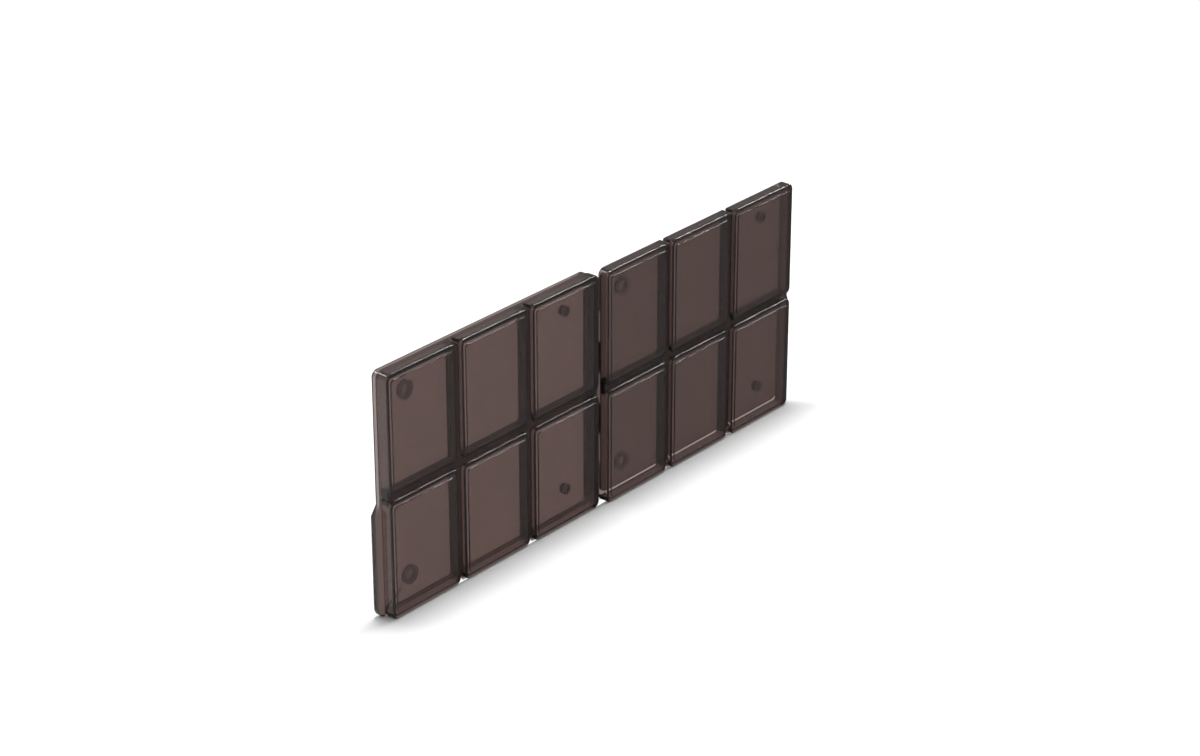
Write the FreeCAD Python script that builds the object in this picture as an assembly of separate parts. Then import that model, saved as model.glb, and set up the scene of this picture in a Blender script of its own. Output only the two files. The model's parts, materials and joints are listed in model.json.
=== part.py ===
import FreeCAD, Part
import math
import os

# A folding case for memory cards, opened flat and standing on its long edge.
# X runs along the opened case, Z is up, and depth is measured from the left tile faces towards the back.

# Memory card that each well holds
card_width = 24.0
card_length = 32.0
card_thickness = 2.1
card_side_clearance = 0.75
card_end_clearance = 0.9
card_depth_clearance = 0.95

# Tray: hollow tiles, parted in front by shallow grooves
tile_columns = 3
tile_rows = 2
well_side_wall = 1.2
well_end_wall = 1.4
well_corner_radius = 0.8
panel_thickness = 0.85
column_groove = 1.8
row_groove = 1.6
groove_depth = 1.3
column_notch = 1.4
row_notch = 0.4
tile_corner_radius = 2.0
tile_edge_radius = 0.6
tray_back_radius = 0.3
border_side = 1.5
border_end = 1.9
panel_raise = 0.3
panel_corner_radius = 0.9
panel_edge_radius = 0.28
right_margin = 1.2

# Spine hinge
spine_gap = 2.4
knuckle_count = 7
knuckle_radius = 1.45
knuckle_gap = 0.2
hinge_end_inset = 3.0
pin_radius = 0.6
pin_running_clearance = 0.05
pin_end_recess = 0.6
right_arm_root = 0.8

# Inner leaf, hinged between the two trays, with a thumb tab on its free edge
seat_gap = 0.05
fold_gap = 0.1
leaf_plate = 1.0
leaf_rim_height = 1.0
leaf_rim_width = 1.2
leaf_corner_radius = 2.0
leaf_edge_radius = 0.4
leaf_spine_inset = 0.6
tab_width = 2.1
tab_height = 34.6
tab_slant = 2.8
tab_corner_radius = 3.2

# Lift-off cover of the right tray
cover_plate = 0.9
cover_inset = 2.0
cover_edge_radius = 0.25

# Locating pegs of the leaf and the cover, and their blind holes in the trays
peg_radius = 0.7
peg_length = 0.8
peg_clearance = 0.1
peg_end_clearance = 0.2

# Snap cups and studs that hold the folded case shut
snap_edge_distance = 10.95
snap_end_distance = 8.9
cup_radius = 2.85
cup_rise = 0.6
cup_floor = 0.5
cup_lead_in = 0.25
stud_radius = 1.6
stud_clearance = 0.2
stud_engagement = 0.35
stud_tip_radius = 0.5
stud_core_radius = 0.7
stud_core_depth = 1.3

# Sizes that follow from the ones above
well_width = card_width + 2 * card_side_clearance
well_height = card_length + 2 * card_end_clearance
tile_width = well_width + 2 * well_side_wall
tile_height = well_height + 2 * well_end_wall
column_pitch = tile_width + column_groove
row_pitch = tile_height + row_groove
half_width = tile_columns * column_pitch - column_groove + right_margin
half_height = tile_rows * row_pitch - row_groove
tray_depth = panel_thickness + card_thickness + card_depth_clearance
right_step = seat_gap + cover_plate
leaf_front = tray_depth + seat_gap
leaf_floor = leaf_front + leaf_plate
leaf_back = leaf_floor + leaf_rim_height
cover_front = leaf_front - right_step
cover_back = cover_front + cover_plate
hinge_depth = (cover_back + leaf_back + fold_gap) / 2
hinge_bottom = hinge_end_inset
hinge_top = half_height - hinge_end_inset
knuckle_length = (hinge_top - hinge_bottom + knuckle_gap) / knuckle_count - knuckle_gap
overall_front = -right_step
overall_back = hinge_depth + knuckle_radius
left_edge = -spine_gap / 2 - half_width
right_edge = spine_gap / 2
stud_height = leaf_rim_height + fold_gap + stud_engagement
snap_heights = {"lower": snap_end_distance, "upper": half_height - snap_end_distance}

# How far a cutting tool reaches past the faces that it opens
overshoot = 1.0

# Which knuckles, counted from the bottom, belong to which leaf of the hinge
leaf_knuckles = (0, 6)
left_tray_knuckles = (2, 4)
right_tray_knuckles = (1, 3, 5)


def rounded_block(x0, z0, x1, z1, radius, depth0, depth1):
    """A block with its four edges along the depth rounded."""
    corners = [
        (x1 - radius, z0 + radius, 270),
        (x1 - radius, z1 - radius, 0),
        (x0 + radius, z1 - radius, 90),
        (x0 + radius, z0 + radius, 180),
    ]
    # The circles lie in the XZ plane, and their angles run from +X towards +Z.
    arcs = []
    for x, z, start in corners:
        center = FreeCAD.Vector(x, depth0, z)
        arcs.append(Part.makeCircle(radius, center, FreeCAD.Vector(0, -1, 0), start, start + 90))
    edges = []
    for arc, following in zip(arcs, arcs[1:] + arcs[:1]):
        edges.append(arc)
        edges.append(Part.makeLine(arc.lastVertex(True).Point, following.firstVertex(True).Point))
    face = Part.Face(Part.Wire(Part.__sortEdges__(edges)))
    return face.extrude(FreeCAD.Vector(0, depth1 - depth0, 0))


def box(x0, x1, depth0, depth1, z0, z1):
    return Part.makeBox(x1 - x0, depth1 - depth0, z1 - z0, FreeCAD.Vector(x0, depth0, z0))


def depth_cylinder(x, z, radius, depth0, depth1):
    return Part.makeCylinder(radius, depth1 - depth0, FreeCAD.Vector(x, depth0, z), FreeCAD.Vector(0, 1, 0))


def edges_at_depth(shape, depth):
    """The edges that lie wholly in the plane at this depth."""
    found = []
    for edge in shape.Edges:
        bounds = edge.BoundBox
        if abs(bounds.YMin - depth) < 1e-6 and abs(bounds.YMax - depth) < 1e-6:
            found.append(edge)
    return found


def tile_corners(edge):
    """The lower left corner of each tile of the half that starts at this edge."""
    for column in range(tile_columns):
        for row in range(tile_rows):
            yield edge + column * column_pitch, row * row_pitch


def tile_end(edge, x):
    """Where a tile that starts at x ends: the last column takes in the tray's wider right margin."""
    last = edge + (tile_columns - 1) * column_pitch
    return edge + half_width if x >= last else x + tile_width


def column_groove_starts(edge):
    return [edge + column * column_pitch + tile_width for column in range(tile_columns - 1)]


def row_groove_starts():
    return [row * row_pitch + tile_height for row in range(tile_rows - 1)]


def groove_crossings(edge):
    for x in column_groove_starts(edge):
        for z in row_groove_starts():
            yield x + column_groove / 2, z + row_groove / 2


def tile_block(x, z, end):
    """One raised tile with rounded front edges and a panel that stands a little higher in its middle."""
    root = groove_depth + overshoot
    block = rounded_block(x, z, end, z + tile_height, tile_corner_radius, panel_raise, root)
    block = block.makeFillet(tile_edge_radius, edges_at_depth(block, panel_raise))
    panel = rounded_block(
        x + border_side,
        z + border_end,
        end - border_side,
        z + tile_height - border_end,
        panel_corner_radius,
        0,
        root,
    )
    panel = panel.makeFillet(panel_edge_radius, edges_at_depth(panel, 0))
    return block.fuse(panel)


def card_well(x, z):
    return rounded_block(
        x + well_side_wall,
        z + well_end_wall,
        x + well_side_wall + well_width,
        z + well_end_wall + well_height,
        well_corner_radius,
        panel_thickness,
        tray_depth + overshoot,
    )


def groove_cuts(edge, outer):
    """Notches at both ends of the column grooves and the outer end of the row groove, and peg holes."""
    front = -overshoot
    back = tray_depth + overshoot
    cuts = []
    for x in column_groove_starts(edge):
        end = x + column_groove
        cuts.append(box(x, end, front, back, -overshoot, column_notch))
        cuts.append(box(x, end, front, back, half_height - column_notch, half_height + overshoot))
    for z in row_groove_starts():
        cuts.append(box(outer - row_notch, outer + row_notch, front, back, z, z + row_groove))
    hole_floor = tray_depth - peg_length - peg_end_clearance
    for x, z in groove_crossings(edge):
        cuts.append(depth_cylinder(x, z, peg_radius + peg_clearance, hole_floor, back))
    return cuts


def tray_body(edge, outer):
    """Six tiles on one thick base, with grooves notched at their ends."""
    base = rounded_block(
        edge, 0, edge + half_width, half_height, tile_corner_radius, groove_depth, tray_depth
    )
    base = base.makeFillet(tray_back_radius, edges_at_depth(base, tray_depth))
    tiles = [tile_block(x, z, tile_end(edge, x)) for x, z in tile_corners(edge)]
    body = base.fuse(tiles).removeSplitter()
    return body.cut(groove_cuts(edge, outer))


def knuckles(numbers, arm_start, arm_front, arm_back, bore_radius):
    """Knuckles on the spine axis, each with the arm that joins it to its leaf, bored for the pin."""
    solids = []
    for number in numbers:
        bottom = hinge_bottom + number * (knuckle_length + knuckle_gap)
        top = bottom + knuckle_length
        barrel = Part.makeCylinder(knuckle_radius, knuckle_length, FreeCAD.Vector(0, hinge_depth, bottom))
        arm = box(min(arm_start, 0), max(arm_start, 0), arm_front, arm_back, bottom, top)
        neck_side = math.copysign(knuckle_radius, arm_start)
        neck = box(min(neck_side, 0), max(neck_side, 0), arm_front, hinge_depth, bottom, top)
        bore = Part.makeCylinder(bore_radius, knuckle_length, FreeCAD.Vector(0, hinge_depth, bottom))
        solids.append(barrel.fuse([arm, neck]).cut(bore))
    return solids


def tray(edge, outer, front, arms):
    """A tray whose tile faces lie at this depth, joined to its knuckles and hollowed for the cards."""
    body = tray_body(edge, outer)
    body.translate(FreeCAD.Vector(0, front, 0))
    body = body.fuse(arms).removeSplitter()
    wells = [card_well(x, z) for x, z in tile_corners(edge)]
    for well in wells:
        well.translate(FreeCAD.Vector(0, front, 0))
    return body.cut(wells)


def left_tray():
    arm_start = -spine_gap / 2 - well_side_wall
    arm_front = hinge_depth - knuckle_radius
    arms = knuckles(left_tray_knuckles, arm_start, arm_front, tray_depth, pin_radius)
    return tray(left_edge, left_edge, 0, arms)


def right_tray():
    """The other tray stands forward by the cover, so its arms reach back to the spine axis."""
    arm_start = spine_gap / 2 + well_side_wall
    arm_front = tray_depth - right_step - right_arm_root
    bore_radius = pin_radius + pin_running_clearance
    arms = knuckles(right_tray_knuckles, arm_start, arm_front, cover_back, bore_radius)
    return tray(right_edge, right_edge + half_width, -right_step, arms)


def pegs(edge, tray_back, root):
    tip = tray_back - peg_length
    return [depth_cylinder(x, z, peg_radius, tip, root) for x, z in groove_crossings(edge)]


def thumb_tab():
    """Tab on the lower half of the leaf's free edge, slanted at its top and rounded at its foot."""
    outer = left_edge - tab_width
    inner = left_edge + tab_corner_radius
    foot_center = FreeCAD.Vector(outer + tab_corner_radius, leaf_front, tab_corner_radius)
    foot = Part.makeCircle(tab_corner_radius, foot_center, FreeCAD.Vector(0, -1, 0), 180, 270)
    points = [
        foot.lastVertex(True).Point,
        FreeCAD.Vector(inner, leaf_front, 0),
        FreeCAD.Vector(inner, leaf_front, tab_height),
        FreeCAD.Vector(left_edge, leaf_front, tab_height),
        FreeCAD.Vector(outer, leaf_front, tab_height - tab_slant),
        foot.firstVertex(True).Point,
    ]
    outline = [foot]
    for start, end in zip(points, points[1:]):
        outline.append(Part.makeLine(start, end))
    face = Part.Face(Part.Wire(Part.__sortEdges__(outline)))
    return face.extrude(FreeCAD.Vector(0, leaf_back - leaf_front, 0))


def snap_places(cup_x, stud_x):
    """Where the cups and studs of one plate sit, by name."""
    cups = {name: (cup_x, z) for name, z in snap_heights.items()}
    studs = {name: (stud_x, z) for name, z in snap_heights.items()}
    return cups, studs


def snap_holes(cups, studs):
    """Seats through a plate for its pressed-in cups and studs."""
    front = cover_front - overshoot
    back = leaf_back + overshoot
    holes = [depth_cylinder(x, z, cup_radius, front, back) for x, z in cups.values()]
    return holes + [depth_cylinder(x, z, stud_radius, front, back) for x, z in studs.values()]


def inner_leaf(cups, studs):
    """Rimmed plate that covers the left tray's wells, with its knuckles, thumb tab and pegs."""
    right = left_edge + half_width - leaf_spine_inset
    slab = rounded_block(left_edge, 0, right, half_height, leaf_corner_radius, leaf_front, leaf_back)
    slab = slab.fuse(thumb_tab()).removeSplitter()
    slab = slab.makeFillet(leaf_edge_radius, edges_at_depth(slab, leaf_back))
    hollow = rounded_block(
        left_edge + leaf_rim_width,
        leaf_rim_width,
        right - leaf_rim_width,
        half_height - leaf_rim_width,
        leaf_corner_radius - leaf_rim_width / 2,
        leaf_floor,
        leaf_back + overshoot,
    )
    arm_start = right - leaf_rim_width / 2
    bore_radius = pin_radius + pin_running_clearance
    arms = knuckles(leaf_knuckles, arm_start, leaf_front, leaf_back, bore_radius)
    joined = slab.cut(hollow).fuse(arms + pegs(left_edge, tray_depth, leaf_floor)).removeSplitter()
    return joined.cut(snap_holes(cups, studs))


def right_cover(cups, studs):
    """Plain plate over the right tray's wells, set in from the tray's edges."""
    plate = rounded_block(
        right_edge + cover_inset,
        cover_inset,
        right_edge + half_width - cover_inset,
        half_height - cover_inset,
        leaf_corner_radius,
        cover_front,
        cover_back,
    )
    plate = plate.makeFillet(cover_edge_radius, edges_at_depth(plate, cover_back))
    joined = plate.fuse(pegs(right_edge, tray_depth - right_step, cover_back)).removeSplitter()
    return joined.cut(snap_holes(cups, studs))


def snap_cup(x, z, plate_front, plate_back):
    """Blind ring pressed into a plate, raised at the back, with a lead-in for the stud."""
    bore_radius = stud_radius + stud_clearance
    rim = plate_back + cup_rise
    ring = depth_cylinder(x, z, cup_radius, plate_front, rim)
    bore = depth_cylinder(x, z, bore_radius, plate_front + cup_floor, rim)
    mouth = Part.makeCone(
        bore_radius,
        bore_radius + cup_lead_in,
        cup_lead_in,
        FreeCAD.Vector(x, rim - cup_lead_in, z),
        FreeCAD.Vector(0, 1, 0),
    )
    return ring.cut([bore, mouth])


def snap_stud(x, z, plate_front, plate_back):
    """Cored pin pressed through a plate, with a rounded tip behind it."""
    tip = plate_back + stud_height
    pin = depth_cylinder(x, z, stud_radius, plate_front, tip)
    pin = pin.makeFillet(stud_tip_radius, edges_at_depth(pin, tip))
    return pin.cut(depth_cylinder(x, z, stud_core_radius, plate_front, plate_front + stud_core_depth))


def hinge_pin():
    length = hinge_top - hinge_bottom - 2 * pin_end_recess
    return Part.makeCylinder(pin_radius, length, FreeCAD.Vector(0, hinge_depth, hinge_bottom + pin_end_recess))


def build():
    """Every sub-part by node name, with depth measured from the left tile faces."""
    leaf_cups, leaf_studs = snap_places(left_edge + snap_edge_distance, -spine_gap / 2 - snap_edge_distance)
    cover_cups, cover_studs = snap_places(
        right_edge + snap_edge_distance, right_edge + half_width - snap_edge_distance
    )
    nodes = {
        "left_tray": left_tray(),
        "right_tray": right_tray(),
        "inner_leaf": inner_leaf(leaf_cups, leaf_studs),
        "right_cover": right_cover(cover_cups, cover_studs),
        "hinge_pin": hinge_pin(),
    }
    for level in snap_heights:
        nodes["leaf_snap_cup_" + level] = snap_cup(*leaf_cups[level], leaf_front, leaf_floor)
        nodes["leaf_snap_stud_" + level] = snap_stud(*leaf_studs[level], leaf_front, leaf_floor)
        nodes["cover_snap_cup_" + level] = snap_cup(*cover_cups[level], cover_front, cover_back)
        nodes["cover_snap_stud_" + level] = snap_stud(*cover_studs[level], cover_front, cover_back)
    return nodes


def main():
    # The origin sits under the middle of the standing case, thumb tab included.
    middle = (overall_front + overall_back) / 2
    os.makedirs("parts", exist_ok=True)
    for name, shape in build().items():
        shape.translate(FreeCAD.Vector(tab_width / 2, -middle, 0))
        shape.exportStep("parts/" + name + ".step")
        state = "closed" if shape.isValid() and len(shape.Solids) == 1 else "check"
        print(name, state, "solids", len(shape.Solids), "volume", round(shape.Volume, 2))


main()
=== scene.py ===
import json
import math

import bmesh
import bpy
from mathutils import Matrix, Vector


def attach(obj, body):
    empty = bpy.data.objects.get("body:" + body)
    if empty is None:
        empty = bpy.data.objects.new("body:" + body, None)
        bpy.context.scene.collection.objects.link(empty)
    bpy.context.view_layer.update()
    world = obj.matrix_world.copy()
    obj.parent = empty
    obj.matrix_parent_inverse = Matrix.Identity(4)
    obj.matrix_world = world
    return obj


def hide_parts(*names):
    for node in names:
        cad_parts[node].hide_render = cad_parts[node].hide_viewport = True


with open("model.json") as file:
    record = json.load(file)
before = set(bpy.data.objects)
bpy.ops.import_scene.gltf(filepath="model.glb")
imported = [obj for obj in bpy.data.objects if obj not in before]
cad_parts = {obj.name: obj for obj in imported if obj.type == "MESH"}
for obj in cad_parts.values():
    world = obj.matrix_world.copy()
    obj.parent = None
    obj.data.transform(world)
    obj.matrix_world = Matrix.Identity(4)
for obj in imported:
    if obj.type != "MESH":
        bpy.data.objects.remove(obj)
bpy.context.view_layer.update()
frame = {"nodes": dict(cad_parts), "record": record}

MM = 0.001

# Sizes of the case that the camera needs, in millimetres
half_width = 88.5
half_height = 74.8
spine_gap = 2.4
border_side = 1.5
border_end = 1.9
tab_width = 2.1
middle_depth = 2.7375

# Camera: its direction in degrees, and its place from the upper left panel corner in millimetres
camera_azimuth = -50.1365
camera_elevation = 25.5601
camera_right = 55.6574
camera_up = 0.9421
camera_back = 847.6962
camera_sensor = 36.0
camera_lens = 95.5221

# Dome: its strength for plain rays, in mirrors, and where it is seen outright or through the plastic
dome_plain = 0.5
dome_mirrored = 0.2
dome_seen = 1.0
lamp_aim = (0.0, 0.0, 0.035)

# Paper: how pale it is to the camera and in mirrors, and in metres where that changes, where it turns white
# far off, and the strip under the trays where it glows white to the camera as painted light
paper_half_size = 4.0
paper_seen = 0.95
paper_mirrored = 0.12
paper_mirrored_at_left = 0.6
paper_left_ends = (-0.092, -0.084)
paper_white_beyond = (0.30, 0.75)
painted_light_strip_along = (-0.0865, 0.0895)
painted_light_strip_across = (-0.0019, 0.0002)

# Smoky plastic: the tint of one wall, and what a metre of it soaks up, in red, green and blue
tray_tint = (0.80, 0.705, 0.685)
leaf_tint = (0.88, 0.785, 0.765)
cover_tint = (0.525, 0.45, 0.43)
snap_tint = (0.25, 0.22, 0.21)
case_soak = (800.0, 900.0, 930.0)
snap_soak = (300.0, 340.0, 350.0)
plastic_ior = 1.45
plastic_clearness = 0.96

# Marks of the mould: how fine they are per metre, how much they change tint and polish, and their height
flow_scale = 60.0
flow_tint_change = 0.03
flow_polish_change = 0.5
ripple_scale = 130.0
ripple_height = 0.001

# Meshes: points nearer than this are one, flats may lean this much, and corners past this stay crisp
merge_distance = 0.0005
flat_lean = 0.05
crisp_corner = 32


def link(thing):
    bpy.context.scene.collection.objects.link(thing)
    return thing


# Steps that the node trees share
def feed(tree, value, socket):
    """Puts a number in a socket, or links another node's output to it."""
    if isinstance(value, float):
        socket.default_value = value
    else:
        tree.links.new(value, socket)


def spread(tree, value, to_ends, from_ends=(0.0, 1.0)):
    """Carries a value from one pair of ends to another and stops at them."""
    step = tree.nodes.new("ShaderNodeMapRange")
    feed(tree, value, step.inputs["Value"])
    for name, end in zip(("From Min", "From Max", "To Min", "To Max"), (*from_ends, *to_ends)):
        feed(tree, end, step.inputs[name])
    return step.outputs["Result"]


def reckon(tree, operation, *values):
    step = tree.nodes.new("ShaderNodeMath")
    step.operation = operation
    for value, socket in zip(values, step.inputs):
        feed(tree, value, socket)
    return step.outputs["Value"]


def by_ray(tree, kind, others, seen):
    """One value for rays of this kind and another for all others."""
    return spread(tree, tree.nodes.new("ShaderNodeLightPath").outputs[kind], (others, seen))


def within(tree, value, ends):
    """One where the value lies between the two ends, and nought elsewhere."""
    lowest, highest = ends
    return reckon(tree, "COMPARE", value, (lowest + highest) / 2, (highest - lowest) / 2)


def cloud(tree, place, scale, detail):
    noise = tree.nodes.new("ShaderNodeTexNoise")
    noise.inputs["Scale"].default_value = scale
    noise.inputs["Detail"].default_value = detail
    tree.links.new(place, noise.inputs["Vector"])
    return noise.outputs["Fac"]


def tones(tree, value, dark, light):
    ramp = tree.nodes.new("ShaderNodeValToRGB")
    for stop, tone in zip(ramp.color_ramp.elements, (dark, light)):
        stop.color = (*tone, 1.0)
    tree.links.new(value, ramp.inputs["Fac"])
    return ramp.outputs["Color"]


def start_material(name):
    """A new material with its node tree, its shader and the Object coordinates."""
    material = bpy.data.materials.new(name)
    material.use_nodes = True
    tree = material.node_tree
    place = tree.nodes.new("ShaderNodeTexCoord").outputs["Object"]
    return material, tree, tree.nodes["Principled BSDF"], place


# Camera, at the height and side from which the standing case is seen
def place_camera():
    azimuth = math.radians(camera_azimuth)
    elevation = math.radians(camera_elevation)
    back = Vector((
        math.sin(azimuth) * math.cos(elevation),
        -math.cos(azimuth) * math.cos(elevation),
        math.sin(elevation),
    ))
    right = Vector((0, 0, 1)).cross(back).normalized()
    up = back.cross(right)
    upper_left_panel_corner = Vector((
        -spine_gap / 2 - half_width + border_side + tab_width / 2,
        -middle_depth,
        half_height - border_end,
    ))
    place = upper_left_panel_corner + camera_right * right + camera_up * up + camera_back * back
    data = bpy.data.cameras.new("camera")
    data.sensor_width = camera_sensor
    data.lens = camera_lens
    data.clip_start = 0.01
    data.clip_end = 50.0
    camera = link(bpy.data.objects.new("camera", data))
    turn = Matrix((right, up, back)).transposed()
    camera.matrix_world = Matrix.Translation(place * MM) @ turn.to_4x4()
    bpy.context.scene.camera = camera


# Studio: white paper under a soft dome, a strip lamp overhead and two more that draw the edges' highlights
def hang_lamp(name, place, width, height, watts, edges_only=False):
    data = bpy.data.lights.new(name, "AREA")
    data.shape = "RECTANGLE"
    data.size = width
    data.size_y = height
    data.energy = watts
    lamp = link(bpy.data.objects.new(name, data))
    lamp.location = place
    aim = Vector(lamp_aim) - lamp.location
    lamp.rotation_euler = aim.to_track_quat("-Z", "Y").to_euler()
    lamp.visible_transmission = False
    lamp.visible_diffuse = not edges_only


def light_studio():
    world = bpy.data.worlds.new("white_dome")
    bpy.context.scene.world = world
    world.use_nodes = True
    tree = world.node_tree
    dome = tree.nodes["Background"]
    dome.inputs["Color"].default_value = (1.0, 1.0, 1.0, 1.0)
    mirrored = by_ray(tree, "Is Glossy Ray", dome_plain, dome_mirrored)
    through = by_ray(tree, "Is Transmission Ray", mirrored, dome_seen)
    feed(tree, by_ray(tree, "Is Camera Ray", through, dome_seen), dome.inputs["Strength"])
    hang_lamp("overhead_strip", place=(0.05, 0.055, 1.0), width=0.30, height=0.11, watts=8.0)
    hang_lamp("back_box", place=(-0.30, 0.70, 0.85), width=0.30, height=0.20, watts=1.5)
    hang_lamp("edge_light", place=(1.02, -0.30, 0.80), width=0.40, height=0.75, watts=12.0, edges_only=True)


def paper():
    """White paper that glows through the plastic, and to the camera far off; under the trays its glow is
    painted light, standing in for the light that the plastic lets through.
    """
    material, tree, shader, spot = start_material("white_paper")
    shader.inputs["Roughness"].default_value = 0.9
    shader.inputs["Specular IOR Level"].default_value = 0.1
    place = tree.nodes.new("ShaderNodeSeparateXYZ")
    tree.links.new(spot, place.inputs["Vector"])
    mirrored = spread(tree, place.outputs["X"], (paper_mirrored_at_left, paper_mirrored), paper_left_ends)
    feed(tree, by_ray(tree, "Is Camera Ray", mirrored, paper_seen), shader.inputs["Base Color"])

    # Painted light: in a strip under the trays the paper glows white to the camera, in place of the light
    # that the clear plastic lets through onto it.
    along = within(tree, place.outputs["X"], painted_light_strip_along)
    across = within(tree, place.outputs["Y"], painted_light_strip_across)
    painted_light_under_trays = reckon(tree, "MULTIPLY", along, across)
    reach = tree.nodes.new("ShaderNodeVectorMath")
    reach.operation = "LENGTH"
    tree.links.new(spot, reach.inputs[0])
    far_off = spread(tree, reach.outputs["Value"], (0.0, 1.0), paper_white_beyond)
    white = reckon(tree, "MAXIMUM", painted_light_under_trays, far_off)
    lit = by_ray(tree, "Is Transmission Ray", by_ray(tree, "Is Camera Ray", 0.0, white), 1.0)
    glow = tree.nodes.new("ShaderNodeEmission")
    mix = tree.nodes.new("ShaderNodeMixShader")
    feed(tree, lit, mix.inputs["Fac"])
    tree.links.new(shader.outputs["BSDF"], mix.inputs[1])
    tree.links.new(glow.outputs["Emission"], mix.inputs[2])
    tree.links.new(mix.outputs["Shader"], tree.nodes["Material Output"].inputs["Surface"])
    return material


def lay_floor():
    shape = bmesh.new()
    bmesh.ops.create_grid(shape, x_segments=1, y_segments=1, size=paper_half_size)
    mesh = bpy.data.meshes.new("floor")
    shape.to_mesh(mesh)
    shape.free()
    mesh.materials.append(paper())
    link(bpy.data.objects.new("floor", mesh))


# Finishes
def moulded_smoke(name, tint, soak, polish):
    """Clear plastic with a smoky brown tint, faintly hazy and rippled as it left its mould."""
    material, tree, shader, place = start_material(name)
    shader.inputs["Transmission Weight"].default_value = plastic_clearness
    shader.inputs["IOR"].default_value = plastic_ior

    flow = cloud(tree, place, flow_scale, 3.0)
    dark = [(1 - flow_tint_change) * part for part in tint]
    light = [(1 + flow_tint_change) * part for part in tint]
    feed(tree, tones(tree, flow, dark, light), shader.inputs["Base Color"])
    polish_ends = (polish * (1 - flow_polish_change), polish * (1 + flow_polish_change))
    feed(tree, spread(tree, flow, polish_ends), shader.inputs["Roughness"])

    bump = tree.nodes.new("ShaderNodeBump")
    bump.inputs["Strength"].default_value = 1.0
    bump.inputs["Distance"].default_value = ripple_height * MM
    feed(tree, cloud(tree, place, ripple_scale, 1.0), bump.inputs["Height"])
    feed(tree, bump.outputs["Normal"], shader.inputs["Normal"])

    strongest = max(soak)
    absorption = tree.nodes.new("ShaderNodeVolumeAbsorption")
    absorption.inputs["Color"].default_value = (*(1.0 - part / strongest for part in soak), 1.0)
    absorption.inputs["Density"].default_value = strongest
    tree.links.new(absorption.outputs["Volume"], tree.nodes["Material Output"].inputs["Volume"])
    return material


def dark_rod():
    """Drawn rod of dark plastic, with fine marks around it."""
    material, tree, shader, place = start_material("dark_rod")
    stretch = tree.nodes.new("ShaderNodeMapping")
    stretch.inputs["Scale"].default_value = (2000.0, 2000.0, 120.0)
    tree.links.new(place, stretch.inputs["Vector"])
    drawn = cloud(tree, stretch.outputs["Vector"], 1.0, 2.0)
    tint = tones(tree, drawn, dark=(0.012, 0.009, 0.008), light=(0.028, 0.021, 0.018))
    feed(tree, tint, shader.inputs["Base Color"])
    feed(tree, spread(tree, drawn, (0.28, 0.45)), shader.inputs["Roughness"])
    return material


# Pieces: each moulding keeps its solid's shape, with smooth rounds and crisp corners
def smooth_moulding(node, material):
    """A dressed copy of a solid, with the slivers of flat faces joined so that they don't catch light."""
    shape = bmesh.new()
    shape.from_mesh(frame["nodes"][node].data)
    bmesh.ops.remove_doubles(shape, verts=shape.verts, dist=merge_distance * MM)
    lean = math.radians(flat_lean)
    bmesh.ops.dissolve_limit(shape, angle_limit=lean, verts=shape.verts, edges=shape.edges)
    mesh = bpy.data.meshes.new(node + "_moulding")
    shape.to_mesh(mesh)
    shape.free()
    mesh.shade_smooth()
    mesh.set_sharp_from_angle(angle=math.radians(crisp_corner))
    mesh.materials.append(material)
    piece = link(bpy.data.objects.new(node + "_moulding", mesh))
    flats = piece.modifiers.new("flat_faces_stay_flat", "WEIGHTED_NORMAL")
    flats.mode = "FACE_AREA"
    flats.weight = 100
    flats.keep_sharp = True
    return piece


def dress_case():
    finishes = {
        "tray_plastic": moulded_smoke("tray_smoke", tray_tint, case_soak, polish=0.012),
        "leaf_plastic": moulded_smoke("leaf_smoke", leaf_tint, case_soak, polish=0.014),
        "cover_plastic": moulded_smoke("cover_smoke", cover_tint, case_soak, polish=0.014),
        "pin_plastic": dark_rod(),
        "snap_plastic": moulded_smoke("snap_smoke", snap_tint, snap_soak, polish=0.03),
    }
    body_of = {}
    for body, nodes in frame["record"]["behaviour"]["bodies"].items():
        for node in nodes:
            body_of[node] = body
    for subpart in frame["record"]["subparts"]:
        node = subpart["node"]
        slot = subpart["material_slot"]
        piece = smooth_moulding(node, finishes[slot])
        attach(piece, body_of[node])
        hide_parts(node)


bpy.context.scene.view_settings.view_transform = "Standard"
place_camera()
light_studio()
lay_floor()
dress_case()
